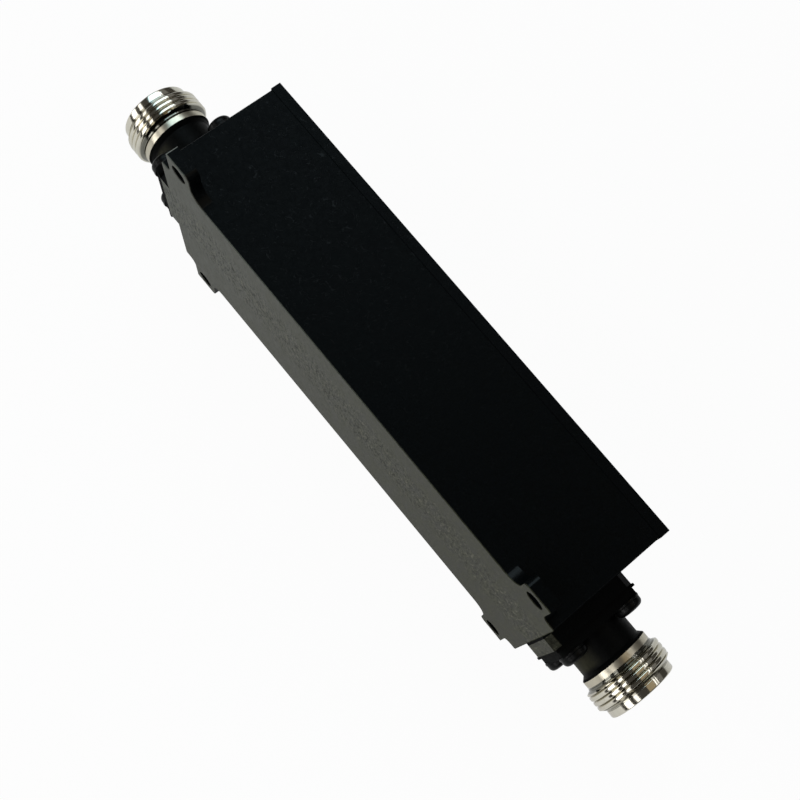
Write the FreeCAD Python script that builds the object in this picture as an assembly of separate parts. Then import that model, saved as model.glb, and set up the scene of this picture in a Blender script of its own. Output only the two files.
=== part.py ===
"""Cavity bandpass filter: a milled housing with five coaxial cavities in a row, a screwed lid with tuning
and coupling screws, and a flange jack on each short end. Millimetres.

X runs along the filter. The mounting face lies on Y = 0 and looks towards -Y, and the lid is towards +Y.
Z runs across the filter, upwards when it is bolted to a wall. The origin is the middle of the mounting face.
"""

import FreeCAD, Part
import math
import os

V = FreeCAD.Vector
os.makedirs("parts", exist_ok=True)

# Housing block
body_length = 104.0
body_width = 38.8
body_height = 23.9
side_wall = 4.0
end_wall = 4.0
floor_thick = 4.0
cavity_count = 5
iris_wall = 2.4
iris_width_outer = 13.0
iris_width_inner = 11.5
pocket_radius = 3.0
edge_break = 0.25

# Mounting ears
ear_thick = 2.4
ear_hole_dia = 3.7
ear_hole_inset = 5.7
ear_hole_offset = 3.8
ear_outer_half = 2.95
ear_inner_half = 3.1
ear_web = 1.1
ear_root_radius = 1.7
ear_sweep_radius = 3.3
ear_shoulder_radius = 1.2

# Square boss that carries each jack
boss_size = 18.0
boss_depth = 3.3
boss_chamfer = 1.3

# Lid and its screws
lid_thick = 2.0
lid_overhang = 0.15
lid_screw_dia = 2.0
lid_head_dia = 3.8
lid_head_height = 1.2
lid_screw_length = 6.0
lid_slot_width = 0.5
lid_slot_depth = 0.5

# Tuning screws, coupling screws, their lock nuts, and the play and extra depth of tapped holes
tuning_dia = 4.0
tuning_length = 13.0
tuning_stand = 4.6
tuning_nut_flats = 7.0
tuning_nut_thick = 2.6
coupling_dia = 3.0
coupling_length = 14.0
coupling_stand = 3.4
coupling_nut_flats = 5.5
coupling_nut_thick = 2.0
slot_width = 0.8
slot_depth = 1.0
thread_gap = 0.05
blind_extra = 0.6
cut_reach = 0.1

# Resonator posts
post_dia = 8.0
post_height = 16.2
post_bore_dia = 5.2
post_base = 3.0
post_screw_dia = 2.5
post_screw_head_dia = 4.5
post_screw_head_height = 2.5
post_screw_engage = 3.0
post_blind_extra = 0.2
hex_key = 2.0
hex_depth = 1.2

# Jack: square flange, neck, ring, thread and front rim, turned in one piece
jack_axis_height = 9.3
flange_size = 17.4
flange_thick = 1.2
flange_radius = 1.2
neck_dia = 12.3
neck_length = 6.0
ring_dia = 13.9
ring_length = 1.35
relief_dia = 13.2
relief_length = 0.7
thread_dia = 15.88
thread_length = 4.2
thread_chamfer = 0.6
rim_dia = 13.9
rim_length = 1.8
socket_dia = 8.6
socket_depth = 9.1
socket_chamfer = 0.5

# Jack insulator and centre contact
bead_dia = 8.0
bead_collar_dia = 9.6
bead_collar_thick = 1.0
contact_dia = 3.04
contact_recess = 5.0
contact_socket_dia = 1.66
contact_socket_depth = 5.0
contact_slot_width = 0.35
contact_slot_depth = 4.0
contact_shoulder_dia = 4.2
contact_shoulder_thick = 0.8
contact_tail_dia = 2.4
contact_tail_stand = 0.8
contact_cup_depth = 1.5
contact_tip_edge = 0.3
contact_gap = 0.03
feed_bore_dia = 7.0

# Gasket, screws and washers of each jack
gasket_size = 18.0
gasket_thick = 0.5
jack_screw_pitch = 12.7
jack_screw_dia = 2.5
jack_screw_engage = 5.2
jack_screw_clearance = 0.15
head_dia = 5.2
head_height = 1.5
head_edge = 0.5
cross_length = 2.6
cross_width = 0.6
cross_depth = 0.8
washer_dia = 5.4
washer_thick = 0.5

# Straight tap wire from each contact to its resonator
tap_dia = 1.2
tap_seat = 0.8

# Places worked out from the sizes above
half_length = body_length / 2
half_width = body_width / 2
pocket_width = body_width - 2 * side_wall
cavity_pitch = (body_length - 2 * end_wall + iris_wall) / cavity_count
cavity_length = cavity_pitch - iris_wall
cavity_centres = [(i - (cavity_count - 1) / 2) * cavity_pitch for i in range(cavity_count)]
iris_centres = [x + cavity_pitch / 2 for x in cavity_centres[:-1]]
lid_top = body_height + lid_thick
boss_face = half_length + boss_depth
flange_back = boss_face + gasket_thick
flange_front = flange_back + flange_thick
neck_end = flange_front + neck_length
ring_end = neck_end + ring_length
relief_end = ring_end + relief_length
thread_end = relief_end + thread_length
jack_front = thread_end + rim_length
socket_floor = jack_front - socket_depth
contact_tip = jack_front - contact_recess
contact_tail = half_length - end_wall - contact_tail_stand
jack_hole_places = [(y * jack_screw_pitch / 2, z * jack_screw_pitch / 2) for y in (-1, 1) for z in (-1, 1)]
lid_screw_xs = [-half_length + end_wall / 2] + iris_centres + [half_length - end_wall / 2]
lid_screw_z = half_width - side_wall / 2
lid_screw_places = [(x, z) for z in (-lid_screw_z, lid_screw_z) for x in lid_screw_xs]
along_x = V(1, 0, 0)
along_y = V(0, 1, 0)


def block(x0, x1, y0, y1, z0, z1):
    return Part.makeBox(x1 - x0, y1 - y0, z1 - z0, V(x0, y0, z0))


def upright(dia, x, z, y0, y1):
    """A round bar along Y."""
    return Part.makeCylinder(dia / 2, y1 - y0, V(x, y0, z), along_y)


def level(dia, x0, x1, y=0.0, z=0.0):
    """A round bar along X, placed from the jack's axis."""
    return Part.makeCylinder(dia / 2, x1 - x0, V(x0, jack_axis_height + y, z), along_x)


def turned(profile, y=0.0, z=0.0):
    """A closed outline of (x, radius) points, turned about a line along X, placed from the jack's axis."""
    axis_y = jack_axis_height + y
    points = [V(x, axis_y + r, z) for x, r in profile]
    face = Part.Face(Part.makePolygon(points + points[:1]))
    return face.revolve(V(0, axis_y, z), along_x, 360)


def turned_upright(profile, x, z):
    """A closed outline of (radius, y) points, turned about a line along Y."""
    points = [V(x + r, y, z) for r, y in profile]
    face = Part.Face(Part.makePolygon(points + points[:1]))
    return face.revolve(V(x, 0, z), along_y, 360)


def edges_along(shape, direction):
    """The straight edges that run along a direction."""
    found = []
    for edge in shape.Edges:
        if isinstance(edge.Curve, Part.Line) and abs(edge.Curve.Direction.dot(direction)) > 0.999:
            found.append(edge)
    return found


def joined(shapes):
    return shapes[0].multiFuse(shapes[1:]).removeSplitter() if len(shapes) > 1 else shapes[0]


def end_for_end(shape):
    """The same piece at the other end, turned half round about Y."""
    copy = shape.copy()
    copy.rotate(V(0, 0, 0), along_y, 180)
    return copy


def hexagon(flats, x, z, y0, y1):
    corner = flats / math.sqrt(3)
    points = [V(x + corner * math.cos(math.radians(a)), y0, z + corner * math.sin(math.radians(a)))
              for a in range(0, 360, 60)]
    return Part.Face(Part.makePolygon(points + points[:1])).extrude(V(0, y1 - y0, 0))


def write(name, shape):
    shape.exportStep("parts/" + name + ".step")


# Ear: a flat tab with a crisp outer end and a swept inner end
def ear():
    hole_x = half_length - ear_hole_inset
    hole_z = half_width + ear_hole_offset
    outer_x = hole_x + ear_outer_half
    inner_x = hole_x - ear_inner_half
    outer_z = hole_z + ear_hole_dia / 2 + ear_web
    root = ear_root_radius
    sweep = ear_sweep_radius
    shoulder = ear_shoulder_radius
    slant = math.sqrt(0.5)
    root_arc = Part.Arc(V(outer_x + root, 0, half_width),
                        V(outer_x + root * (1 - slant), 0, half_width + root * (1 - slant)),
                        V(outer_x, 0, half_width + root))
    shoulder_arc = Part.Arc(V(inner_x + shoulder, 0, outer_z),
                            V(inner_x + shoulder * (1 - slant), 0, outer_z - shoulder * (1 - slant)),
                            V(inner_x, 0, outer_z - shoulder))
    sweep_arc = Part.Arc(V(inner_x, 0, half_width + sweep),
                         V(inner_x - sweep * (1 - slant), 0, half_width + sweep * (1 - slant)),
                         V(inner_x - sweep, 0, half_width))
    inside = half_width - side_wall / 2
    edges = [
        Part.LineSegment(V(outer_x + root, 0, inside), V(outer_x + root, 0, half_width)).toShape(),
        root_arc.toShape(),
        Part.LineSegment(V(outer_x, 0, half_width + root), V(outer_x, 0, outer_z)).toShape(),
        Part.LineSegment(V(outer_x, 0, outer_z), V(inner_x + shoulder, 0, outer_z)).toShape(),
        shoulder_arc.toShape(),
        Part.LineSegment(V(inner_x, 0, outer_z - shoulder), V(inner_x, 0, half_width + sweep)).toShape(),
        sweep_arc.toShape(),
        Part.LineSegment(V(inner_x - sweep, 0, half_width), V(inner_x - sweep, 0, inside)).toShape(),
        Part.LineSegment(V(inner_x - sweep, 0, inside), V(outer_x + root, 0, inside)).toShape(),
    ]
    tab = Part.Face(Part.Wire(edges)).extrude(V(0, ear_thick, 0))
    return tab.cut(upright(ear_hole_dia, hole_x, hole_z, 0, ear_thick))


def four_corners(shape):
    """A piece at +X +Z, repeated at the other three corners."""
    across = shape.mirror(V(0, 0, 0), V(0, 0, 1))
    pair = [shape, across]
    return pair + [s.mirror(V(0, 0, 0), V(1, 0, 0)) for s in pair]


# Housing: block, ears and bosses, with cavities, windows between them and every hole
def boss():
    low = jack_axis_height - boss_size / 2
    high = jack_axis_height + boss_size / 2
    half = boss_size / 2
    bare = block(half_length - end_wall / 2, boss_face, low, high, -half, half)
    return bare.makeChamfer(boss_chamfer, edges_along(bare, along_x))


def cavity(x):
    half = pocket_width / 2
    pocket = block(x - cavity_length / 2, x + cavity_length / 2, floor_thick, body_height, -half, half)
    return pocket.makeFillet(pocket_radius, edges_along(pocket, along_y))


def iris(index):
    outermost = index in (0, cavity_count - 2)
    half = (iris_width_outer if outermost else iris_width_inner) / 2
    x = iris_centres[index]
    reach = iris_wall / 2 + cut_reach
    return block(x - reach, x + reach, floor_thick, body_height, -half, half)


def jack_holes():
    """The feed bore and the four tapped holes at the +X end."""
    holes = [level(feed_bore_dia, half_length - end_wall - cut_reach, boss_face)]
    depth = jack_screw_engage + blind_extra
    for y, z in jack_hole_places:
        holes.append(level(jack_screw_dia + 2 * thread_gap, boss_face - depth, boss_face, y, z))
    return holes


def housing():
    core = block(-half_length, half_length, 0, body_height, -half_width, half_width)
    core = core.makeChamfer(edge_break, edges_along(core, along_y))
    bosses = [boss(), end_for_end(boss())]
    solid = joined([core] + four_corners(ear()) + bosses)
    cuts = [cavity(x) for x in cavity_centres]
    cuts += [iris(i) for i in range(len(iris_centres))]
    for hole in jack_holes():
        cuts += [hole, end_for_end(hole)]
    tapped = lid_screw_dia + 2 * thread_gap
    lid_hole_floor = lid_top - lid_screw_length - blind_extra
    cuts += [upright(tapped, x, z, lid_hole_floor, body_height) for x, z in lid_screw_places]
    tapped = post_screw_dia + 2 * thread_gap
    post_hole_floor = floor_thick - post_screw_engage - post_blind_extra
    cuts += [upright(tapped, x, 0, post_hole_floor, floor_thick) for x in cavity_centres]
    return solid.cut(cuts)


# Lid: a flat plate with countersunk, tuning and coupling holes
def countersink(x, z, widen):
    neck = lid_screw_dia / 2 + widen
    profile = [(0, lid_top - lid_head_height), (neck, lid_top - lid_head_height),
               (lid_head_dia / 2 + widen, lid_top), (0, lid_top)]
    return turned_upright(profile, x, z)


def lid():
    long_half = half_length + lid_overhang
    wide_half = half_width + lid_overhang
    plate = block(-long_half, long_half, body_height, lid_top, -wide_half, wide_half)
    cuts = []
    for x, z in lid_screw_places:
        cuts.append(upright(lid_screw_dia + 2 * thread_gap, x, z, body_height, lid_top))
        cuts.append(countersink(x, z, thread_gap))
    cuts += [upright(tuning_dia + 2 * thread_gap, x, 0, body_height, lid_top) for x in cavity_centres]
    cuts += [upright(coupling_dia + 2 * thread_gap, x, 0, body_height, lid_top) for x in iris_centres]
    return plate.cut(cuts)


def lid_screw(x, z):
    shank = upright(lid_screw_dia, x, z, lid_top - lid_screw_length, lid_top - lid_head_height / 2)
    half = lid_head_dia / 2
    wide = lid_slot_width / 2
    slot = block(x - half, x + half, lid_top - lid_slot_depth, lid_top, z - wide, z + wide)
    return joined([countersink(x, z, 0), shank]).cut(slot)


# Slotted adjusting screws with hexagon lock nuts
def adjuster(x, dia, length, stand):
    top = lid_top + stand
    bar = upright(dia, x, 0, top - length, top)
    slot = block(x - dia, x + dia, top - slot_depth, top, -slot_width / 2, slot_width / 2)
    return bar.cut(slot)


def lock_nut(x, dia, flats, thick):
    nut = hexagon(flats, x, 0, lid_top, lid_top + thick)
    return nut.cut(upright(dia + 2 * thread_gap, x, 0, lid_top, lid_top + thick))


# Resonator post with a hollow top, held by a cap screw down its bore
def post(x):
    top = floor_thick + post_height
    r = post_dia / 2
    bore = post_bore_dia / 2
    floor = floor_thick + post_base
    hole = post_screw_dia / 2 + thread_gap
    profile = [(hole, floor_thick), (r, floor_thick), (r, top), (bore, top), (bore, floor), (hole, floor)]
    return turned_upright(profile, x, 0)


def post_screw(x):
    seat = floor_thick + post_base
    top = seat + post_screw_head_height
    shank = upright(post_screw_dia, x, 0, floor_thick - post_screw_engage, seat)
    head = upright(post_screw_head_dia, x, 0, seat, top)
    return joined([shank, head]).cut(hexagon(hex_key, x, 0, top - hex_depth, top))


# Jack at the +X end
def jack_shell():
    low = jack_axis_height - flange_size / 2
    high = jack_axis_height + flange_size / 2
    half = flange_size / 2
    flange = block(flange_back, flange_front, low, high, -half, half)
    flange = flange.makeFillet(flange_radius, edges_along(flange, along_x))
    bore = bead_dia / 2
    thread = thread_dia / 2
    ring = ring_dia / 2
    rim = rim_dia / 2
    profile = [
        (flange_back, bore), (flange_back, neck_dia / 2), (neck_end, neck_dia / 2),
        (neck_end, ring), (ring_end, ring), (ring_end, relief_dia / 2), (relief_end, relief_dia / 2),
        (relief_end + thread_chamfer, thread), (thread_end - thread_chamfer, thread), (thread_end, rim),
        (jack_front, rim), (jack_front, socket_dia / 2 + socket_chamfer),
        (jack_front - socket_chamfer, socket_dia / 2), (socket_floor, socket_dia / 2), (socket_floor, bore),
    ]
    cuts = [level(bead_dia, flange_back, socket_floor)]
    cuts.append(level(bead_collar_dia, flange_back, flange_back + bead_collar_thick))
    for y, z in jack_hole_places:
        cuts.append(level(jack_screw_dia + 2 * jack_screw_clearance, flange_back, flange_front, y, z))
    return joined([flange, turned(profile)]).cut(cuts)


def jack_bead():
    hole = contact_dia / 2 + contact_gap
    collar_end = flange_back + bead_collar_thick
    bead = bead_dia / 2 - contact_gap
    profile = [(flange_back, hole), (flange_back, bead_collar_dia / 2 - contact_gap),
               (collar_end, bead_collar_dia / 2 - contact_gap), (collar_end, bead),
               (socket_floor, bead), (socket_floor, hole)]
    return turned(profile)


def jack_contact():
    body = contact_dia / 2
    shoulder = contact_shoulder_dia / 2
    tail = contact_tail_dia / 2
    shoulder_back = flange_back - contact_shoulder_thick
    profile = [(contact_tail, 0), (contact_tail, tail), (shoulder_back, tail), (shoulder_back, shoulder),
               (flange_back, shoulder), (flange_back, body), (contact_tip - contact_tip_edge, body),
               (contact_tip, body - contact_tip_edge), (contact_tip, 0)]
    cuts = [level(contact_socket_dia, contact_tip - contact_socket_depth, contact_tip)]
    cuts.append(level(tap_dia + 2 * contact_gap, contact_tail, contact_tail + contact_cup_depth))
    slot_back = contact_tip - contact_slot_depth
    half = contact_slot_width / 2
    low = jack_axis_height - body
    high = jack_axis_height + body
    cuts.append(block(slot_back, contact_tip, jack_axis_height - half, jack_axis_height + half, -body, body))
    cuts.append(block(slot_back, contact_tip, low, high, -half, half))
    return turned(profile).cut(cuts)


def jack_gasket():
    low = jack_axis_height - gasket_size / 2
    high = jack_axis_height + gasket_size / 2
    half = gasket_size / 2
    sheet = block(boss_face, flange_back, low, high, -half, half)
    cuts = [level(feed_bore_dia, boss_face, flange_back)]
    for y, z in jack_hole_places:
        cuts.append(level(jack_screw_dia + 2 * jack_screw_clearance, boss_face, flange_back, y, z))
    return sheet.cut(cuts)


def jack_washer(y, z):
    back = flange_front
    front = flange_front + washer_thick
    ring = level(washer_dia, back, front, y, z)
    return ring.cut(level(jack_screw_dia + 2 * thread_gap, back, front, y, z))


def jack_screw(y, z):
    seat = flange_front + washer_thick
    top = seat + head_height
    shank = jack_screw_dia / 2
    head = head_dia / 2
    profile = [(boss_face - jack_screw_engage, 0), (boss_face - jack_screw_engage, shank), (seat, shank),
               (seat, head), (top - head_edge, head), (top, head - head_edge), (top, 0)]
    mid_y = jack_axis_height + y
    long_half = cross_length / 2
    wide_half = cross_width / 2
    floor = top - cross_depth
    cuts = [block(floor, top, mid_y - long_half, mid_y + long_half, z - wide_half, z + wide_half),
            block(floor, top, mid_y - wide_half, mid_y + wide_half, z - long_half, z + long_half)]
    return turned(profile, y, z).cut(cuts)


# Tap wire: out of the contact's cup and into the side of the nearest resonator
def tap_ends():
    start = contact_tail + contact_cup_depth
    end = cavity_centres[-1] + math.sqrt((post_dia / 2) ** 2 - (tap_dia / 2) ** 2) - tap_seat
    return start, end


def tap_wire():
    start, end = tap_ends()
    return level(tap_dia, end, start)


def tap_hole():
    """The shallow hole in the side of the nearest resonator that takes the wire's end."""
    start, end = tap_ends()
    return level(tap_dia + 2 * contact_gap, end, start)


# Write every piece
write("housing", housing())
write("lid", lid())
write("lid_screws", Part.makeCompound([lid_screw(x, z) for x, z in lid_screw_places]))
tuning_screws = [adjuster(x, tuning_dia, tuning_length, tuning_stand) for x in cavity_centres]
write("tuning_screws", Part.makeCompound(tuning_screws))
tuning_nuts = [lock_nut(x, tuning_dia, tuning_nut_flats, tuning_nut_thick) for x in cavity_centres]
write("tuning_nuts", Part.makeCompound(tuning_nuts))
coupling_screws = [adjuster(x, coupling_dia, coupling_length, coupling_stand) for x in iris_centres]
write("coupling_screws", Part.makeCompound(coupling_screws))
coupling_nuts = [lock_nut(x, coupling_dia, coupling_nut_flats, coupling_nut_thick) for x in iris_centres]
write("coupling_nuts", Part.makeCompound(coupling_nuts))
write("resonator_screws", Part.makeCompound([post_screw(x) for x in cavity_centres]))

for number, x in enumerate(cavity_centres, start=1):
    resonator = post(x)
    if number == 1:
        resonator = resonator.cut(end_for_end(tap_hole()))
    if number == cavity_count:
        resonator = resonator.cut(tap_hole())
    write("resonator_" + str(number), resonator)

jack_pieces = {
    "jack_shell": jack_shell(),
    "jack_insulator": jack_bead(),
    "jack_contact": jack_contact(),
    "jack_gasket": jack_gasket(),
    "tap_wire": tap_wire(),
}
for name, piece in jack_pieces.items():
    write(name + "_out", piece)
    write(name + "_in", end_for_end(piece))

washers = [jack_washer(y, z) for y, z in jack_hole_places]
write("jack_washers", Part.makeCompound(washers + [end_for_end(w) for w in washers]))
screws = [jack_screw(y, z) for y, z in jack_hole_places]
write("jack_screws", Part.makeCompound(screws + [end_for_end(w) for w in screws]))
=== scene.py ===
"""Looks of the cavity bandpass filter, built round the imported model.

The frame is the model's own, in metres: X runs along the filter, the bare mounting face lies on Y = 0 and
looks towards -Y, the lid is towards +Y. New pieces and patterns are drawn in millimetres, and a piece is
scaled once, when its drawing is done.
"""

import math

import bmesh
import bpy
from mathutils import Matrix, Vector


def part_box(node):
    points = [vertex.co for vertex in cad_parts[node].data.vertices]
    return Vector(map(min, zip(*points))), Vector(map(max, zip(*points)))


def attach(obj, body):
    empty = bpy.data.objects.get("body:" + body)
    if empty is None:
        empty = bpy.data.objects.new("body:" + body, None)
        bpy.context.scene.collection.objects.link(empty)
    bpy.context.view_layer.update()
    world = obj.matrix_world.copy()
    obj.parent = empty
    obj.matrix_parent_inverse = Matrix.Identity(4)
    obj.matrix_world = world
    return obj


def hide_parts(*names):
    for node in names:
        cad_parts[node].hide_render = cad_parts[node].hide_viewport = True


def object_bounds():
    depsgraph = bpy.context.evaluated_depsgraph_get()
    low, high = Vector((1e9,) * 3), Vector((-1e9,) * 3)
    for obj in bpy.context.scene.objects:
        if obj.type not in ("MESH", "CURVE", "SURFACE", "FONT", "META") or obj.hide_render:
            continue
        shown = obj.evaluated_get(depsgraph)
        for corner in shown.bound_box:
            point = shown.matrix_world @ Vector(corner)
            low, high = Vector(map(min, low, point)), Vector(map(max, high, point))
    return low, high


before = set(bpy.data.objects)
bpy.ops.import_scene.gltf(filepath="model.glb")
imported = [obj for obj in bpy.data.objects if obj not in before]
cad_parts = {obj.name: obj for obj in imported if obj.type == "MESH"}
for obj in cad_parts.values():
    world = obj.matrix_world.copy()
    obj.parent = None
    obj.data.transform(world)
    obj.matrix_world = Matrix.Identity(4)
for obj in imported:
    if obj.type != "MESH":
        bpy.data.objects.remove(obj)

cad_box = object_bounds()
MM = 0.001
TURN = 2 * math.pi
ALONG = Vector((1, 0, 0))

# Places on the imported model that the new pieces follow, in millimetres
shell_low, shell_high = [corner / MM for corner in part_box("jack_shell_out")]
screws_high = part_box("jack_screws")[1] / MM
washers_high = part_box("jack_washers")[1] / MM
axis_y = (shell_low.y + shell_high.y) / 2
flange_back = shell_low.x
jack_front = shell_high.x

# Jack flange and neck
flange_half = 8.7
flange_corner = 1.2
flange_thick = 1.2
flange_front = flange_back + flange_thick
flange_break = 0.18
flange_hole = 1.4
screw_reach = 6.35
screw_square = [(y, z) for y in (-screw_reach, screw_reach) for z in (-screw_reach, screw_reach)]
neck_radius = 6.15
neck_fillet = 0.45
neck_foot = neck_radius + neck_fillet

# Jack ring, the groove in front of it, and the plain land where the thread starts
ring_back = 63.22
ring_cone = 0.8
ring_front = 64.58
ring_radius = 6.95
ring_break = 0.12
groove_end = 64.76
groove_radius = 6.7
land_radius = 7.05
land_break = 0.08

# Jack thread
pitch = 1.058
crest_radius = 7.94
thread_depth = 0.55
root_radius = crest_radius - thread_depth
thread_back = 65.05
thread_front = 69.35
crest_out = 64.7
crest_in = 65.35
start_slope = 2.0
end_slope = 1.3
land_end = thread_back - 0.05

# Jack rim and the groove behind it
run_out_radius = 7.0
end_groove_back = thread_front + 0.04
end_groove_radius = 6.85
rim_back = 69.62
rim_back_break = 0.06
rim_front_break = 0.25

# Jack socket
socket_radius = 4.3
socket_depth = 9.1
socket_chamfer = 0.5
bead_radius = 4.0
collar_radius = 4.8
collar_depth = 1.0

# Pan head screws of the jacks, with the turns of their heads in radians
head_radius = 2.6
head_draw = 0.03
head_break = 0.12
dome_radius = 0.95
dome_drop = 0.15
first_head_turn = 0.7
next_head_turn = 1.9
cross_radius = 1.5
cross_half_length = 1.25
cross_half_width = 0.3
cross_depth = 0.85
cross_draft = 0.07
shank_radius = 1.25
shank_length = 8.4

# Steps round a circle or an arc
round_steps = 96
screw_steps = 40
hole_steps = 32
corner_steps = 8
dome_steps = 7

# Distances within which points are one, or lie on a plane or a circle, in millimetres
merge_fine = 0.001
merge_made = 0.002
merge_wide = 0.01
cut_snap = 0.0001
on_plane = 0.001
on_circle = 0.002

# Where the housing's paint ends and where its finishes change, in millimetres
bare_edge = 0.15
edge_wander = 0.06
boss_root = 51.86
boss_bare_from = 52.6
boss_low = 0.3
boss_flat_half = 7.7
ear_tip_x = 49.25
ear_tip_z = 26.15
ear_shoulder_x = 44.2
# Reach of the bare ear corners at the -X end that carry a painted highlight
corner_reach = 0.16
wall_z = 19.45
pitted_middle = 3.0
pitted_half = 11.0
# The folds, and the painted highlight on them, fade between these two places along X
folds_fade_from = -30.0
folds_fade_to = 20.0
# From where to where the bare face is painted paler as light, palest towards -X
pale_end = -50.0
plain_end = 50.0

# Where the jacks' paint ends and where a reflection is painted low on the neck, and where their plating
# changes, in millimetres
paint_end = ring_back + 0.06
paint_wander = 0.05
paint_inner = socket_radius + 0.4
reflection_from = -2.6
reflection_full = -5.4
reflection_end = 62.4
reflection_fade = 1.0
mask_margin = 0.1
valley_top = crest_radius - 0.2
dark_start_end = thread_back + 0.35
ring_inner = ring_radius - 0.3

# Gloss of the paints
paint_ior = 1.13
thin_paint_ior = 1.12
screw_paint_ior = 1.22
fold_gloss = 0.12
ear_gloss = 0.2
coat_roughness = 0.3

# Heights of the bumps, in metres
paint_bump = 0.00010
fine_bump = 0.00003
metal_bump = 0.00002

# Colours, as red, green, blue and alpha
wrinkle_dark = (0.0003, 0.0008, 0.0010, 1.0)
wrinkle_light = (0.0010, 0.0019, 0.0025, 1.0)
# Painted highlight that lightens the wrinkle folds
fold_highlight = (0.006, 0.009, 0.011, 1.0)
milled_dark = (0.028, 0.029, 0.017, 1.0)
milled_light = (0.066, 0.068, 0.046, 1.0)
# Painted light that makes the bare face paler towards its -X end
pale_painted_light = (0.135, 0.140, 0.124, 1.0)
pit_dark = (0.012, 0.012, 0.007, 1.0)
# Painted glints on the bare face
glint_painted_light = (0.170, 0.168, 0.122, 1.0)
# Painted shade on the bosses' bare chamfers
chamfer_painted_shade = (0.010, 0.010, 0.009, 1.0)
# Painted highlight on bare ear corners at the -X end
corner_painted_highlight = (0.22, 0.22, 0.20, 1.0)
screw_dark = (0.0012, 0.0014, 0.0014, 1.0)
screw_light = (0.0030, 0.0034, 0.0034, 1.0)
gasket_dark = (0.0014, 0.0014, 0.0014, 1.0)
gasket_light = (0.0030, 0.0030, 0.0029, 1.0)
neck_dark = (0.0014, 0.0016, 0.0017, 1.0)
neck_light = (0.0036, 0.0040, 0.0038, 1.0)
# Painted olive reflection low on the jack necks
neck_painted_reflection = (0.034, 0.033, 0.021, 1.0)
plating_light = (0.81, 0.775, 0.68, 1.0)
plating_dark = (0.68, 0.645, 0.54, 1.0)
# Painted warm reflection on the jack rings
ring_painted_reflection = (0.52, 0.46, 0.33, 1.0)
# Painted shade in the thread's valleys
valley_painted_shade = (0.13, 0.13, 0.11, 1.0)
insulator_dark = (0.83, 0.83, 0.8, 1.0)
insulator_light = (0.9, 0.9, 0.88, 1.0)


class Value:
    """A socket in a material, with Python's operators standing for Math nodes."""

    def __init__(self, finish, socket):
        self.finish = finish
        self.socket = socket

    def maths(self, operation, *terms):
        made = self.finish.node("ShaderNodeMath", {"operation": operation}, dict(enumerate(terms)))
        return made["Value"]

    def __add__(self, other):
        return self.maths("ADD", self, other)

    def __radd__(self, other):
        return self.maths("ADD", other, self)

    def __sub__(self, other):
        return self.maths("SUBTRACT", self, other)

    def __rsub__(self, other):
        return self.maths("SUBTRACT", other, self)

    def __mul__(self, other):
        return self.maths("MULTIPLY", self, other)

    def __rmul__(self, other):
        return self.maths("MULTIPLY", other, self)

    def __abs__(self):
        return self.maths("ABSOLUTE", self)

    def __lt__(self, other):
        return self.maths("LESS_THAN", self, other)

    def __gt__(self, other):
        return self.maths("GREATER_THAN", self, other)

    def most(self, other):
        return self.maths("MAXIMUM", self, other)

    def square_root(self):
        return self.maths("SQRT", self)


class Finish:
    """A material that starts from a Principled shader. One method makes all its other nodes."""

    def __init__(self, name):
        self.material = bpy.data.materials.new(name)
        self.material.use_nodes = True
        self.tree = self.material.node_tree
        self.shader = self.tree.nodes["Principled BSDF"]

    def node(self, kind, settings=None, inputs=None):
        """A new node: settings first, then the values or links of its sockets. Gives its outputs by name."""
        made = self.tree.nodes.new(kind)
        for key, value in (settings or {}).items():
            setattr(made, key, value)
        for key, value in (inputs or {}).items():
            if isinstance(key, int):
                self.feed(made.inputs[key], value)
            else:
                self.feed(next(s for s in made.inputs if s.enabled and s.name == key), value)
        return {s.name: Value(self, s) for s in made.outputs if s.enabled}

    def feed(self, socket, value):
        if isinstance(value, Value):
            self.tree.links.new(value.socket, socket)
        else:
            socket.default_value = value

    def place(self):
        """Object coordinates in millimetres."""
        metres = self.node("ShaderNodeTexCoord")["Object"]
        return self.node("ShaderNodeVectorMath", {"operation": "SCALE"}, {
            "Vector": metres, "Scale": 1 / MM})["Vector"]

    def axes(self, at):
        parts = self.node("ShaderNodeSeparateXYZ", None, {"Vector": at})
        return parts["X"], parts["Y"], parts["Z"]

    def noise(self, at, scale, detail=2.0, roughness=0.5, distortion=0.0):
        return self.node("ShaderNodeTexNoise", None, {
            "Vector": at, "Scale": scale, "Detail": detail, "Roughness": roughness,
            "Distortion": distortion})["Fac"]

    def stretched(self, at, factors):
        return self.node("ShaderNodeVectorMath", {"operation": "MULTIPLY"}, {0: at, 1: factors})["Vector"]

    def between(self, value, low, high, to_low=0.0, to_high=1.0):
        """A value taken from one range to another, smoothly, and kept within it."""
        return self.node("ShaderNodeMapRange", {"interpolation_type": "SMOOTHSTEP"}, {
            "Value": value, "From Min": low, "From Max": high, "To Min": to_low, "To Max": to_high})["Result"]

    def mixed(self, factor, first, second):
        """A colour between two others."""
        return self.node("ShaderNodeMix", {"data_type": "RGBA"}, {
            "Factor": factor, "A": first, "B": second})["Result"]

    def bumped(self, height, distance, strength):
        return self.node("ShaderNodeBump", None, {
            "Height": height, "Distance": distance, "Strength": strength})["Normal"]

    def set(self, **sockets):
        """Values or links of the Principled shader's own sockets, with _ for a space. Gives the material."""
        for name, value in sockets.items():
            self.feed(self.shader.inputs[name.replace("_", " ")], value)
        return self.material


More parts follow.
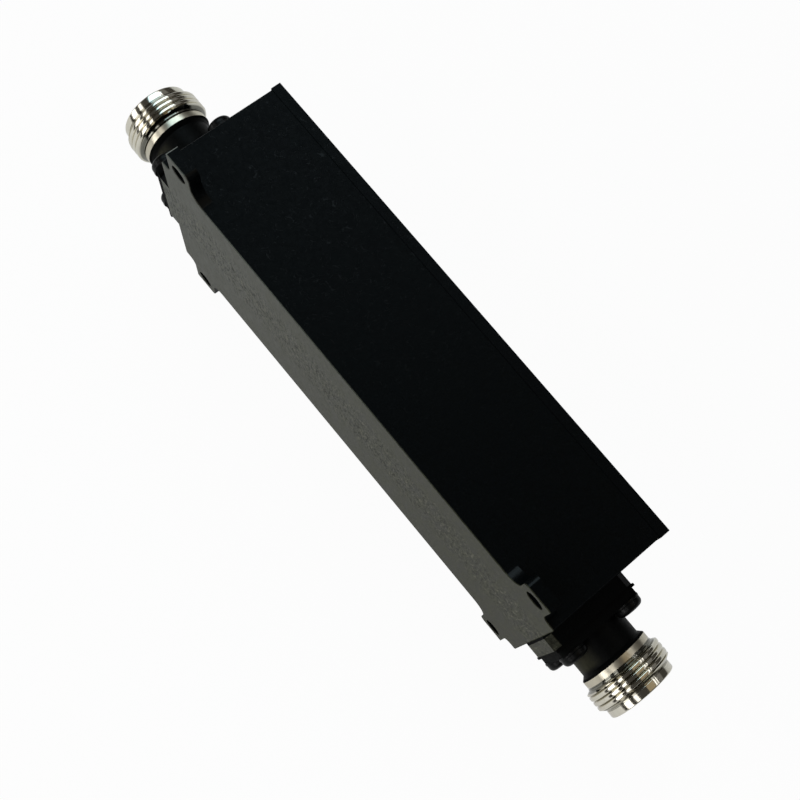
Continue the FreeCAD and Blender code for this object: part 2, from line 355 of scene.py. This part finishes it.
def paint_coat(finish, at):
    """Colour, roughness, height and sharp folds of the black wrinkle paint on the housing and the lid, with a
    painted highlight on the folds that fades towards +X.
    """
    x = finish.axes(at)[0]
    grain = finish.noise(at, 1.1, detail=4.0, roughness=0.62, distortion=0.6)
    fine = finish.noise(at, 3.6)
    crease = abs(finish.noise(at, 0.5, roughness=0.55, distortion=1.0) - 0.5)
    fold = finish.between(crease, 0.0, 0.024, 1.0, 0.0) * finish.between(finish.noise(at, 0.9), 0.45, 0.58)
    fold = fold * finish.between(x, folds_fade_from, folds_fade_to, 1.0, 0.2)
    colour = finish.mixed(grain, wrinkle_dark, wrinkle_light)
    # Painted highlight on the folds
    colour = finish.mixed(fold * 0.15, colour, fold_highlight)
    roughness = finish.between(grain, 0.3, 0.7, 0.36, 0.5)
    height = grain * 0.55 + fine * 0.2 + fold * 0.5
    return colour, roughness, height, fold


def bare_metal(finish, at):
    """Colour, roughness and height of the bare milled face: mottled, pitted most along its middle with
    painted glints there, and paler towards its -X end as painted light.
    """
    x, _, z = finish.axes(at)
    drawn = finish.stretched(at, (1.0, 1.0, 0.38))
    mottle = finish.noise(drawn, 0.4, detail=5.0, roughness=0.7, distortion=0.5)
    grit = finish.noise(drawn, 1.45, detail=4.0, roughness=0.8, distortion=0.7)
    middle = finish.between(abs(z - pitted_middle), pitted_half * 0.35, pitted_half, 1.0, 0.25)
    pits = finish.between(grit, 0.53, 0.60) * middle
    # Painted glints: bright specks of colour, most along the middle
    painted_glints = finish.between(grit, 0.45, 0.36) * middle
    colour = finish.mixed(finish.between(mottle, 0.34, 0.66), milled_dark, milled_light)
    # Painted light: paler towards the -X end
    colour = finish.mixed(finish.between(x, pale_end, plain_end, 0.6, 0.0), colour, pale_painted_light)
    colour = finish.mixed(pits * 0.85, colour, pit_dark)
    colour = finish.mixed(painted_glints * 0.8, colour, glint_painted_light)
    roughness = finish.between(mottle, 0.3, 0.7, 0.5, 0.62)
    return colour, roughness, mottle * 0.5 - pits * 0.4


def housing_finish():
    """Wrinkle paint, with the mounting face, the ears' undersides and the bosses' lower faces left bare, a
    painted shade on the bosses' bare chamfers, and a painted highlight on bare corners of the ears at the -X
    end.
    """
    finish = Finish("black wrinkle paint over milled housing")
    at = finish.place()
    x, y, z = finish.axes(at)
    paint, paint_roughness, paint_height, fold = paint_coat(finish, at)
    metal, metal_roughness, metal_height = bare_metal(finish, at)

    # Masks: 1 where the surface is bare, and 1 on the parts of it that differ
    underside = y - finish.noise(at, 2.0) * edge_wander < bare_edge
    past_root = abs(x) > boss_bare_from
    chamfer = past_root * (abs(z) > boss_flat_half)
    boss_slope = (abs(z) - boss_flat_half).most(0.0) + boss_low + bare_edge
    boss_face = past_root * (y < boss_slope) * (1 - chamfer * (x < 0.0))
    # Bare corners of the ears at the -X end, coloured lighter than the bare face as a painted highlight
    lit_bare_corner = (abs(x + ear_tip_x) < corner_reach) * (abs(z) > ear_tip_z - corner_reach)
    bare = underside.most(boss_face).most(lit_bare_corner)
    painted = 1 - bare
    end_face = (abs(x) > boss_root) * (1 - past_root)
    on_ears = (abs(z) > wall_z) * (abs(x) < ear_shoulder_x)

    # Painted shade darkens the bare chamfers of the bosses
    metal = finish.mixed(chamfer * 0.62, metal, chamfer_painted_shade)
    # Painted highlight on those corners
    metal = finish.mixed(lit_bare_corner, metal, corner_painted_highlight)
    return finish.set(
        Base_Color=finish.mixed(bare, paint, metal),
        Roughness=metal_roughness * bare + paint_roughness * painted + end_face * 0.5,
        Metallic=bare * 0.75,
        Coat_Weight=(fold * fold_gloss + on_ears * ear_gloss) * painted,
        Coat_Roughness=coat_roughness,
        IOR=paint_ior,
        Normal=finish.bumped(metal_height * bare + paint_height * painted, paint_bump, 0.8))


def lid_finish():
    """Wrinkle paint all over."""
    finish = Finish("black wrinkle paint")
    colour, roughness, height, fold = paint_coat(finish, finish.place())
    return finish.set(Base_Color=colour, Roughness=roughness, IOR=paint_ior,
                      Coat_Weight=fold * fold_gloss, Coat_Roughness=coat_roughness,
                      Normal=finish.bumped(height, paint_bump, 0.8))


def screw_finish():
    """The same paint where it lies thinner and smoother, on screws and washers."""
    finish = Finish("smooth black paint")
    cloud = finish.noise(finish.place(), 1.3, detail=3.0, roughness=0.6)
    return finish.set(Base_Color=finish.mixed(cloud, screw_dark, screw_light), IOR=screw_paint_ior,
                      Roughness=finish.between(cloud, 0.3, 0.7, 0.26, 0.38),
                      Normal=finish.bumped(cloud, fine_bump, 0.5))


def gasket_finish():
    """The same paint, dull on the thin gasket plates."""
    finish = Finish("dull black paint")
    cloud = finish.noise(finish.place(), 1.7, detail=3.0, roughness=0.6)
    return finish.set(Base_Color=finish.mixed(cloud, gasket_dark, gasket_light), IOR=thin_paint_ior,
                      Roughness=finish.between(cloud, 0.3, 0.7, 0.75, 0.9),
                      Normal=finish.bumped(cloud, fine_bump, 0.5))


def jack_finish():
    """Bright nickel with fine turning lines on the coupling end, black paint on the flange and the neck."""
    finish = Finish("jack, nickel and black paint")
    at = finish.place()
    x, y, z = finish.axes(at)
    across = y - axis_y
    radius = (across * across + z * z).square_root()

    # Nickel: painted shade in the thread's valleys, darkest in front of the ring, and a painted warm
    # reflection on the ring
    lines = finish.noise(finish.stretched(at, (9.0, 0.05, 0.05)), 1.0, detail=3.0, roughness=0.6)
    haze = finish.noise(at, 0.8, detail=3.0, roughness=0.6, distortion=0.3)
    metal_roughness = finish.between(haze, 0.3, 0.75, 0.06, 0.13) + lines * 0.03
    valley_shade = finish.between(radius, root_radius, valley_top, 1.0, 0.0)
    valley_shade = valley_shade * (abs(x) > ring_front) * (abs(x) < rim_back) * (radius > groove_radius - mask_margin)
    start_shade = (abs(x) < dark_start_end) * 0.33
    on_ring = (abs(x) < ring_front - mask_margin) * (radius > ring_inner)
    metal = finish.mixed(haze, plating_light, plating_dark)
    # Painted shade in the valleys, deepest where the thread starts
    metal = finish.mixed(valley_shade * (start_shade + 0.55), metal, valley_painted_shade)
    # Painted warm reflection on the ring
    metal = finish.mixed(on_ring * 0.5, metal, ring_painted_reflection)

    # Paint: rougher on the flange, with a painted olive reflection low on the neck
    paint = finish.noise(at, 1.3, detail=3.0, roughness=0.6)
    painted = (abs(x) + finish.noise(at, 1.6) * paint_wander < paint_end) * (radius > paint_inner)
    shine = 1 - painted
    on_flange = painted * (radius > neck_foot)
    neck_reflection = finish.between(across, reflection_from, reflection_full) * (radius < neck_radius + mask_margin)
    neck_reflection = neck_reflection * finish.between(abs(x), reflection_end, reflection_end - reflection_fade)
    black = finish.mixed(paint, neck_dark, neck_light)
    black = finish.mixed(neck_reflection * finish.between(paint, 0.2, 0.6, 0.5, 1.0), black, neck_painted_reflection)

    roughness = metal_roughness * shine + shine * on_ring * 0.2 + on_flange * 0.35
    return finish.set(
        Base_Color=finish.mixed(painted, metal, black),
        Roughness=roughness + finish.between(paint, 0.3, 0.7, 0.36, 0.5) * painted,
        Metallic=shine,
        IOR=thin_paint_ior,
        Normal=finish.bumped(lines * shine * 0.3 + paint * painted, fine_bump, 0.6))


def metal_finish(name, light, dark, smoothest, roughest):
    """A plain metal with a cloudy surface."""
    finish = Finish(name)
    cloud = finish.noise(finish.place(), 1.2, detail=4.0, roughness=0.62, distortion=0.3)
    return finish.set(Base_Color=finish.mixed(cloud, light, dark), Metallic=1.0,
                      Roughness=finish.between(cloud, 0.3, 0.7, smoothest, roughest),
                      Normal=finish.bumped(cloud, metal_bump, 0.4))


def insulator_finish():
    finish = Finish("white insulator")
    cloud = finish.noise(finish.place(), 0.9, detail=3.0)
    return finish.set(Base_Color=finish.mixed(cloud, insulator_dark, insulator_light),
                      Roughness=finish.between(cloud, 0.3, 0.7, 0.35, 0.5),
                      Normal=finish.bumped(cloud, metal_bump, 0.3))


housing_paint = housing_finish()
lid_paint = lid_finish()
screw_paint = screw_finish()
gasket_paint = gasket_finish()
jack_plating = jack_finish()
nickel = metal_finish("nickel plate", (0.78, 0.76, 0.71, 1.0), (0.62, 0.6, 0.55, 1.0), 0.16, 0.3)
brass = metal_finish("turned brass", (0.80, 0.62, 0.30, 1.0), (0.62, 0.45, 0.19, 1.0), 0.22, 0.38)
silver = metal_finish("silver plate", (0.88, 0.86, 0.82, 1.0), (0.74, 0.71, 0.65, 1.0), 0.2, 0.34)
steel = metal_finish("steel", (0.56, 0.56, 0.57, 1.0), (0.42, 0.42, 0.43, 1.0), 0.25, 0.4)
gold = metal_finish("gold plate", (0.90, 0.68, 0.30, 1.0), (0.78, 0.55, 0.21, 1.0), 0.14, 0.24)
insulator = insulator_finish()


# Mesh helpers, in millimetres
def rounded(corners, steps=4):
    """An outline of (x, r) points; a third number rounds that corner with that radius."""
    points = []
    for i, corner in enumerate(corners):
        here = Vector(corner[:2])
        if len(corner) < 3:
            points.append(here)
            continue
        before = (Vector(corners[i - 1][:2]) - here).normalized()
        after = (Vector(corners[i + 1][:2]) - here).normalized()
        half = before.angle(after) / 2
        inward = (before + after).normalized()
        centre = here + inward * corner[2] / math.sin(half)
        start = here + before * corner[2] / math.tan(half) - centre
        sweep = start.angle_signed(here + after * corner[2] / math.tan(half) - centre)
        for k in range(steps + 1):
            points.append(centre + Matrix.Rotation(-sweep * k / steps, 2) @ start)
    return points


def chain(bm, points):
    """Vertices at (x, r) joined in a row, ready to spin about the X axis."""
    verts = [bm.verts.new((p[0], p[1], 0.0)) for p in points]
    edges = [bm.edges.new(pair) for pair in zip(verts, verts[1:])]
    return verts + edges


def spun(bm, points, steps=round_steps):
    """An outline spun full turn about the X axis."""
    bmesh.ops.spin(bm, geom=chain(bm, points), cent=(0, 0, 0), axis=ALONG, dvec=(0, 0, 0), angle=TURN,
                   steps=steps, use_merge=True, use_normal_flip=False, use_duplicate=False)


def upright_plane(x):
    """Takes a flat shape drawn in XY to the YZ plane at x."""
    return Matrix(((0, 0, 1, x), (1, 0, 0, 0), (0, 1, 0, 0), (0, 0, 0, 1)))


def lies_at(edge, x):
    return all(abs(v.co.x - x) < on_plane for v in edge.verts)


def loop_at(bm, x, radius=None, centre=(0.0, 0.0)):
    """Boundary edges on the plane at x, or only those on a circle there."""
    found = []
    for edge in bm.edges:
        if not edge.is_boundary or not lies_at(edge, x):
            continue
        reaches = [math.hypot(v.co.y - centre[0], v.co.z - centre[1]) for v in edge.verts]
        if radius is None or all(abs(reach - radius) < on_circle for reach in reaches):
            found.append(edge)
    return found


def made_piece(bm, name, finish, nodes, place=None, sharp=35.0):
    """Turns a drawing in millimetres into a piece on the body, in metres, with its object at the origin."""
    if place is not None:
        bm.transform(place)
    bmesh.ops.remove_doubles(bm, verts=bm.verts, dist=merge_made)
    bmesh.ops.recalc_face_normals(bm, faces=bm.faces)
    bmesh.ops.scale(bm, vec=(MM, MM, MM), verts=bm.verts)
    mesh = bpy.data.meshes.new(name)
    bm.to_mesh(mesh)
    bm.free()
    mesh.shade_smooth()
    mesh.set_sharp_from_angle(angle=math.radians(sharp))
    mesh.materials.append(finish)
    piece = bpy.data.objects.new(name, mesh)
    bpy.context.scene.collection.objects.link(piece)
    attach(piece, "root")
    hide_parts(*nodes)
    return piece


def refined(node, finish, width, sharp=32.0):
    """A merged copy of a node with its edges broken, shown in the node's place."""
    bm = bmesh.new()
    bm.from_mesh(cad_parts[node].data)
    bmesh.ops.scale(bm, vec=(1 / MM, 1 / MM, 1 / MM), verts=bm.verts)
    bmesh.ops.remove_doubles(bm, verts=bm.verts, dist=merge_fine)
    bmesh.ops.dissolve_limit(bm, angle_limit=math.radians(0.5), use_dissolve_boundaries=False,
                             verts=bm.verts, edges=bm.edges)
    piece = made_piece(bm, node + "_finished", finish, [node], sharp=sharp)
    bevel = piece.modifiers.new("edges", "BEVEL")
    bevel.width = width * MM
    bevel.segments = 2
    bevel.limit_method = "ANGLE"
    bevel.angle_limit = math.radians(sharp)
    bevel.use_clamp_overlap = True
    bevel.miter_outer = "MITER_ARC"
    flat = piece.modifiers.new("flat faces", "WEIGHTED_NORMAL")
    flat.keep_sharp = True


# Jack body: flange, neck, ring, helical thread and front rim
def thread_outline():
    """One pitch of the thread from root to root, as (x, r) about its crest."""
    rising = [(-0.5, 0.0), (-0.45, 0.12), (-0.37, 0.7), (-0.3, 0.91), (-0.2, 0.99), (-0.1, 1.0)]
    falling = [(-s, rise) for s, rise in reversed(rising)]
    return [(s * pitch, root_radius + thread_depth * rise) for s, rise in rising + [(0.0, 1.0)] + falling]


def wind_thread(bm, crest):
    """Winds the thread with one crest at the given x, cuts it to length and runs out both its ends."""
    turns = math.ceil((thread_front - thread_back) / pitch) + 3
    first_crest = crest - 2 * pitch
    outline = [(first_crest + x, r) for x, r in thread_outline()]
    step = (pitch / round_steps, 0, 0)
    bmesh.ops.spin(bm, geom=chain(bm, outline), cent=(0, 0, 0), axis=ALONG, dvec=step, angle=TURN * turns,
                   steps=round_steps * turns, use_merge=False, use_normal_flip=False, use_duplicate=False)
    bmesh.ops.remove_doubles(bm, verts=bm.verts, dist=merge_wide)
    for x, way in ((thread_back, -1), (thread_front, 1)):
        everything = bm.verts[:] + bm.edges[:] + bm.faces[:]
        bmesh.ops.bisect_plane(bm, geom=everything, dist=cut_snap, plane_co=(x, 0, 0), plane_no=(way, 0, 0),
                               use_snap_center=False, clear_outer=True, clear_inner=False)
    for v in bm.verts:
        start_limit = land_radius + (v.co.x - thread_back) * start_slope
        end_limit = run_out_radius + (thread_front - v.co.x) * end_slope
        limit = min(start_limit, end_limit)
        radius = math.hypot(v.co.y, v.co.z)
        if radius > limit:
            v.co.y *= limit / radius
            v.co.z *= limit / radius


def flange_face(bm, x, middle):
    """A rounded square at x with the four screw holes and a round hole in the middle."""
    before = set(bm.edges)
    square = bmesh.ops.create_grid(bm, x_segments=1, y_segments=1, size=flange_half, matrix=upright_plane(x))
    bmesh.ops.bevel(bm, geom=square["verts"], offset=flange_corner, offset_type="OFFSET",
                    segments=corner_steps, profile=0.5, affect="VERTICES", material=-1)
    outer = [e for e in bm.edges if e not in before]
    bmesh.ops.delete(bm, geom=outer[0].link_faces[:], context="FACES_ONLY")
    bmesh.ops.create_circle(bm, cap_ends=False, segments=round_steps, radius=middle, matrix=upright_plane(x))
    for y, z in screw_square:
        at = Matrix.Translation((0, y, z)) @ upright_plane(x)
        bmesh.ops.create_circle(bm, cap_ends=False, segments=hole_steps, radius=flange_hole, matrix=at)
    fresh = [e for e in bm.edges if e not in before]
    bmesh.ops.triangle_fill(bm, use_beauty=True, use_dissolve=False, edges=fresh)


def on_outline(edge, x):
    """Whether an edge is part of the flange's own outline at x, and not of a screw hole."""
    for v in edge.verts:
        from_hole = math.hypot(abs(v.co.y) - screw_reach, abs(v.co.z) - screw_reach)
        reach = max(abs(v.co.y), abs(v.co.z))
        if from_hole < flange_hole + merge_wide or reach < flange_half - flange_corner - merge_wide:
            return False
    return lies_at(edge, x)


def jack_body(name, node, place, crest):
    bm = bmesh.new()
    wind_thread(bm, crest)
    back_rim = loop_at(bm, thread_back)
    front_rim = loop_at(bm, thread_front)
    spun(bm, rounded([
        (flange_front, neck_foot), (flange_front, neck_radius, neck_fillet),
        (ring_back - ring_cone, neck_radius), (ring_back, ring_radius, ring_break),
        (ring_front, ring_radius, ring_break), (ring_front, groove_radius), (groove_end, groove_radius),
        (groove_end, land_radius, land_break), (land_end, land_radius)]))
    spun(bm, rounded([
        (end_groove_back, run_out_radius), (end_groove_back, end_groove_radius),
        (rim_back, end_groove_radius), (rim_back, ring_radius, rim_back_break),
        (jack_front, ring_radius, rim_front_break),
        (jack_front, socket_radius + socket_chamfer), (jack_front - socket_chamfer, socket_radius),
        (jack_front - socket_depth, socket_radius), (jack_front - socket_depth, bead_radius),
        (flange_back + collar_depth, bead_radius), (flange_back + collar_depth, collar_radius),
        (flange_back, collar_radius)]))
    bmesh.ops.bridge_loops(bm, edges=back_rim + loop_at(bm, land_end, land_radius))
    bmesh.ops.bridge_loops(bm, edges=front_rim + loop_at(bm, end_groove_back, run_out_radius))
    flange_face(bm, flange_front, neck_foot)
    flange_face(bm, flange_back, collar_radius)
    outlines = [e for x in (flange_front, flange_back) for e in loop_at(bm, x) if on_outline(e, x)]
    bmesh.ops.bridge_loops(bm, edges=outlines)
    for centre in screw_square:
        hole = [e for x in (flange_front, flange_back) for e in loop_at(bm, x, flange_hole, centre)]
        bmesh.ops.bridge_loops(bm, edges=hole)
    front_edges = [e for e in bm.edges if len(e.link_faces) == 2 and e.calc_face_angle(0) > 1.0
                   and on_outline(e, flange_front)]
    bmesh.ops.bevel(bm, geom=front_edges, offset=flange_break, offset_type="OFFSET", segments=3, profile=0.5,
                    affect="EDGES", material=-1)
    made_piece(bm, name, jack_plating, [node], place)


# Jack screws
def cross_face(bm, x):
    """A plus sign on the plane at x, from a grid of nine with its corners taken out."""
    size = cross_half_length
    verts = bmesh.ops.create_grid(bm, x_segments=3, y_segments=3, size=size, matrix=upright_plane(x))["verts"]
    for v in verts:
        for i in (1, 2):
            if abs(v.co[i]) < cross_half_length - merge_wide:
                v.co[i] = math.copysign(cross_half_width, v.co[i])
    nine = [f for f in bm.faces if all(v in verts for v in f.verts)]
    middles = [f.calc_center_median() for f in nine]
    corners = [f for f, at in zip(nine, middles) if min(abs(at.y), abs(at.z)) > cross_half_width]
    plus = [f for f in nine if f not in corners]
    bmesh.ops.delete(bm, geom=corners, context="FACES")
    return plus


def pan_head_screw(bm, seat, top, place):
    """A screw along X: its head stands on the seat, and its shank runs back from it."""
    part = bmesh.new()
    spun(part, rounded([
        (seat - shank_length, 0.0), (seat - shank_length, shank_radius), (seat, shank_radius),
        (seat, head_radius, head_break), (top - dome_drop, head_radius - head_draw, dome_radius),
        (top, cross_radius)], dome_steps), screw_steps)
    bmesh.ops.remove_doubles(part, verts=part.verts, dist=merge_fine)
    plus = cross_face(part, top)
    outline = [e for e in part.edges if e.is_boundary and lies_at(e, top)]
    bmesh.ops.bridge_loops(part, edges=outline)
    bmesh.ops.inset_region(part, faces=plus, thickness=cross_draft, depth=-cross_depth, use_even_offset=True)
    bmesh.ops.recalc_face_normals(part, faces=part.faces)
    part.transform(place)
    mesh = bpy.data.meshes.new("screw")
    part.to_mesh(mesh)
    part.free()
    bm.from_mesh(mesh)
    bpy.data.meshes.remove(mesh)


def jack_screw_set():
    """The eight screws in one piece, each with its own turn of the head."""
    bm = bmesh.new()
    for end in range(2):
        for i, (y, z) in enumerate(screw_square):
            at = Matrix.Translation((0, axis_y + y, z))
            turn = Matrix.Rotation(first_head_turn + next_head_turn * (i + 4 * end), 4, "X")
            place = Matrix.Rotation(end * math.pi, 4, "Y") @ at @ turn
            pan_head_screw(bm, washers_high.x, screws_high.x, place)
    made_piece(bm, "jack_screw_set", screw_paint, ["jack_screws"])


out_end = Matrix.Translation((0, axis_y, 0))
in_end = Matrix.Rotation(math.pi, 4, "Y") @ out_end
jack_body("jack_body_out", "jack_shell_out", out_end, crest_out)
jack_body("jack_body_in", "jack_shell_in", in_end, crest_in)
jack_screw_set()

# Nodes shown as merged copies, with the width of their broken edges
refined("housing", housing_paint, 0.13)
refined("lid", lid_paint, 0.16)
refined("lid_screws", screw_paint, 0.06)
refined("jack_washers", screw_paint, 0.08)
refined("tuning_screws", brass, 0.1)
refined("coupling_screws", brass, 0.1)
refined("tuning_nuts", nickel, 0.2)
refined("coupling_nuts", nickel, 0.15)
for end in ("in", "out"):
    refined("jack_gasket_" + end, gasket_paint, 0.05)
    refined("jack_contact_" + end, gold, 0.05)
    refined("jack_insulator_" + end, insulator, 0.05)

# Inner nodes keep their own meshes and take a finish
inner_finishes = {"resonator_screws": steel, "tap_wire_in": silver, "tap_wire_out": silver}
for number in range(1, 6):
    inner_finishes["resonator_" + str(number)] = silver
for node, inner_finish in inner_finishes.items():
    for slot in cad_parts[node].material_slots:
        slot.material = inner_finish

# Camera, worked out from the photograph's own perspective, in metres
camera_place = Vector((0.041027, -0.037634, 0.201660))
camera_right = Vector((0.64097871, 0.76018767, 0.10611784))
camera_up = Vector((-0.75155236, 0.59349798, 0.28797432))
camera_clip = 0.005
focal_pixels = 1140.06
image_pixels = 800.0
sight_x = 451.243
sight_y = 390.51
sensor_width = 36.0


def turned(across, up, out):
    """A turn that takes X, Y and Z to three directions."""
    return Matrix((across, up, out)).transposed().to_4x4()


def camera():
    data = bpy.data.cameras.new("camera")
    data.sensor_width = sensor_width
    data.lens = focal_pixels / image_pixels * sensor_width
    data.shift_x = (image_pixels / 2 - sight_x) / image_pixels
    data.shift_y = (sight_y - image_pixels / 2) / image_pixels
    data.clip_start = camera_clip
    made = bpy.data.objects.new("camera", data)
    bpy.context.scene.collection.objects.link(made)
    back = camera_right.cross(camera_up)
    made.matrix_world = Matrix.Translation(camera_place) @ turned(camera_right, camera_up, back)
    bpy.context.scene.camera = made


# Floor: its size and level in metres, and how bright it is to the camera, to the lights and in reflections
floor_half = 3.0
floor_level = cad_box[0].z
floor_seen = 0.96
floor_lit = 0.86
mirrored_near = 0.4
mirrored_far = 0.24
mirror_fade = (20.0, 160.0)


def grey(level):
    return (level, level, level, 1.0)


def floor():
    """A pale floor that keeps a faint shadow, and that reflections see dimmer, most so past the lid."""
    bm = bmesh.new()
    bmesh.ops.create_grid(bm, x_segments=1, y_segments=1, size=floor_half,
                          matrix=Matrix.Translation((0, 0, floor_level)))
    mesh = bpy.data.meshes.new("floor")
    bm.to_mesh(mesh)
    bm.free()
    finish = Finish("pale floor")
    ray = finish.node("ShaderNodeLightPath")
    y = finish.axes(finish.place())[1]
    mirrored = ray["Is Glossy Ray"].most(ray["Is Transmission Ray"])
    share = finish.between(y, *mirror_fade, mirrored_near, mirrored_far)
    seen = (ray["Is Camera Ray"] * floor_seen).most(mirrored * share)
    lit = finish.node("ShaderNodeBsdfDiffuse", None, {"Color": grey(floor_lit)})["BSDF"]
    glow = finish.node("ShaderNodeEmission", None, {"Color": grey(1.0), "Strength": 1.0})["Emission"]
    both = finish.node("ShaderNodeMixShader", None, {0: seen, 1: lit, 2: glow})["Shader"]
    finish.feed(finish.tree.nodes["Material Output"].inputs["Surface"], both)
    mesh.materials.append(finish.material)
    made = bpy.data.objects.new("floor", mesh)
    bpy.context.scene.collection.objects.link(made)


# Room and lights, in metres
room_colour = (0.050, 0.047, 0.042, 1.0)
strip_reach = 0.5
strip_start = -0.65
strip_end = 0.45
window_way = (-0.52, 0.27, 0.81)
window_reach = 0.7
window_side = 0.42
white = (1.0, 1.0, 1.0)
warm = (1.0, 0.80, 0.50)
cool = (0.62, 0.86, 1.0)


def room():
    """A dim room round the stage."""
    made = bpy.data.worlds.new("studio")
    made.use_nodes = True
    made.node_tree.nodes["Background"].inputs["Color"].default_value = room_colour
    bpy.context.scene.world = made


def softbox(name, centre, along, outward, length, width, brightness, colour):
    """A rectangular light that looks back along outward, as bright all over as its brightness says."""
    data = bpy.data.lights.new(name, "AREA")
    data.shape = "RECTANGLE"
    data.size = length
    data.size_y = width
    data.energy = brightness * math.pi * length * width
    data.color = colour
    made = bpy.data.objects.new(name, data)
    bpy.context.scene.collection.objects.link(made)
    made.matrix_world = Matrix.Translation(centre) @ turned(along, outward.cross(along), outward)
    made.visible_camera = False


def strip_light(name, low, high, brightness, colour=white):
    """A soft strip that runs along X, between two angles from +Y over +Z, in degrees."""
    middle = math.radians((low + high) / 2)
    outward = Vector((0, math.cos(middle), math.sin(middle)))
    centre = outward * strip_reach + Vector(((strip_start + strip_end) / 2, axis_y * MM, 0))
    width = 2 * strip_reach * math.tan(math.radians((high - low) / 2))
    softbox(name, centre, ALONG, outward, strip_end - strip_start, width, brightness, colour)


def cool_window():
    """A square soft light high over the upper end."""
    outward = Vector(window_way).normalized()
    along = Vector((0, 0, 1)).cross(outward).normalized()
    softbox("cool window", outward * window_reach, along, outward, window_side, window_side, 2.0, cool)


camera()
floor()
room()
strip_light("main softbox", 148, 168, 2.6)
strip_light("second softbox", 121, 133, 1.7)
strip_light("warm card", 60, 86, 0.3, warm)
strip_light("upper strip", 54, 58, 1.8)
strip_light("narrow strip", 47, 50, 1.8)
strip_light("grey card", 27, 44, 0.12)
cool_window()

bpy.context.scene.view_settings.view_transform = "Standard"
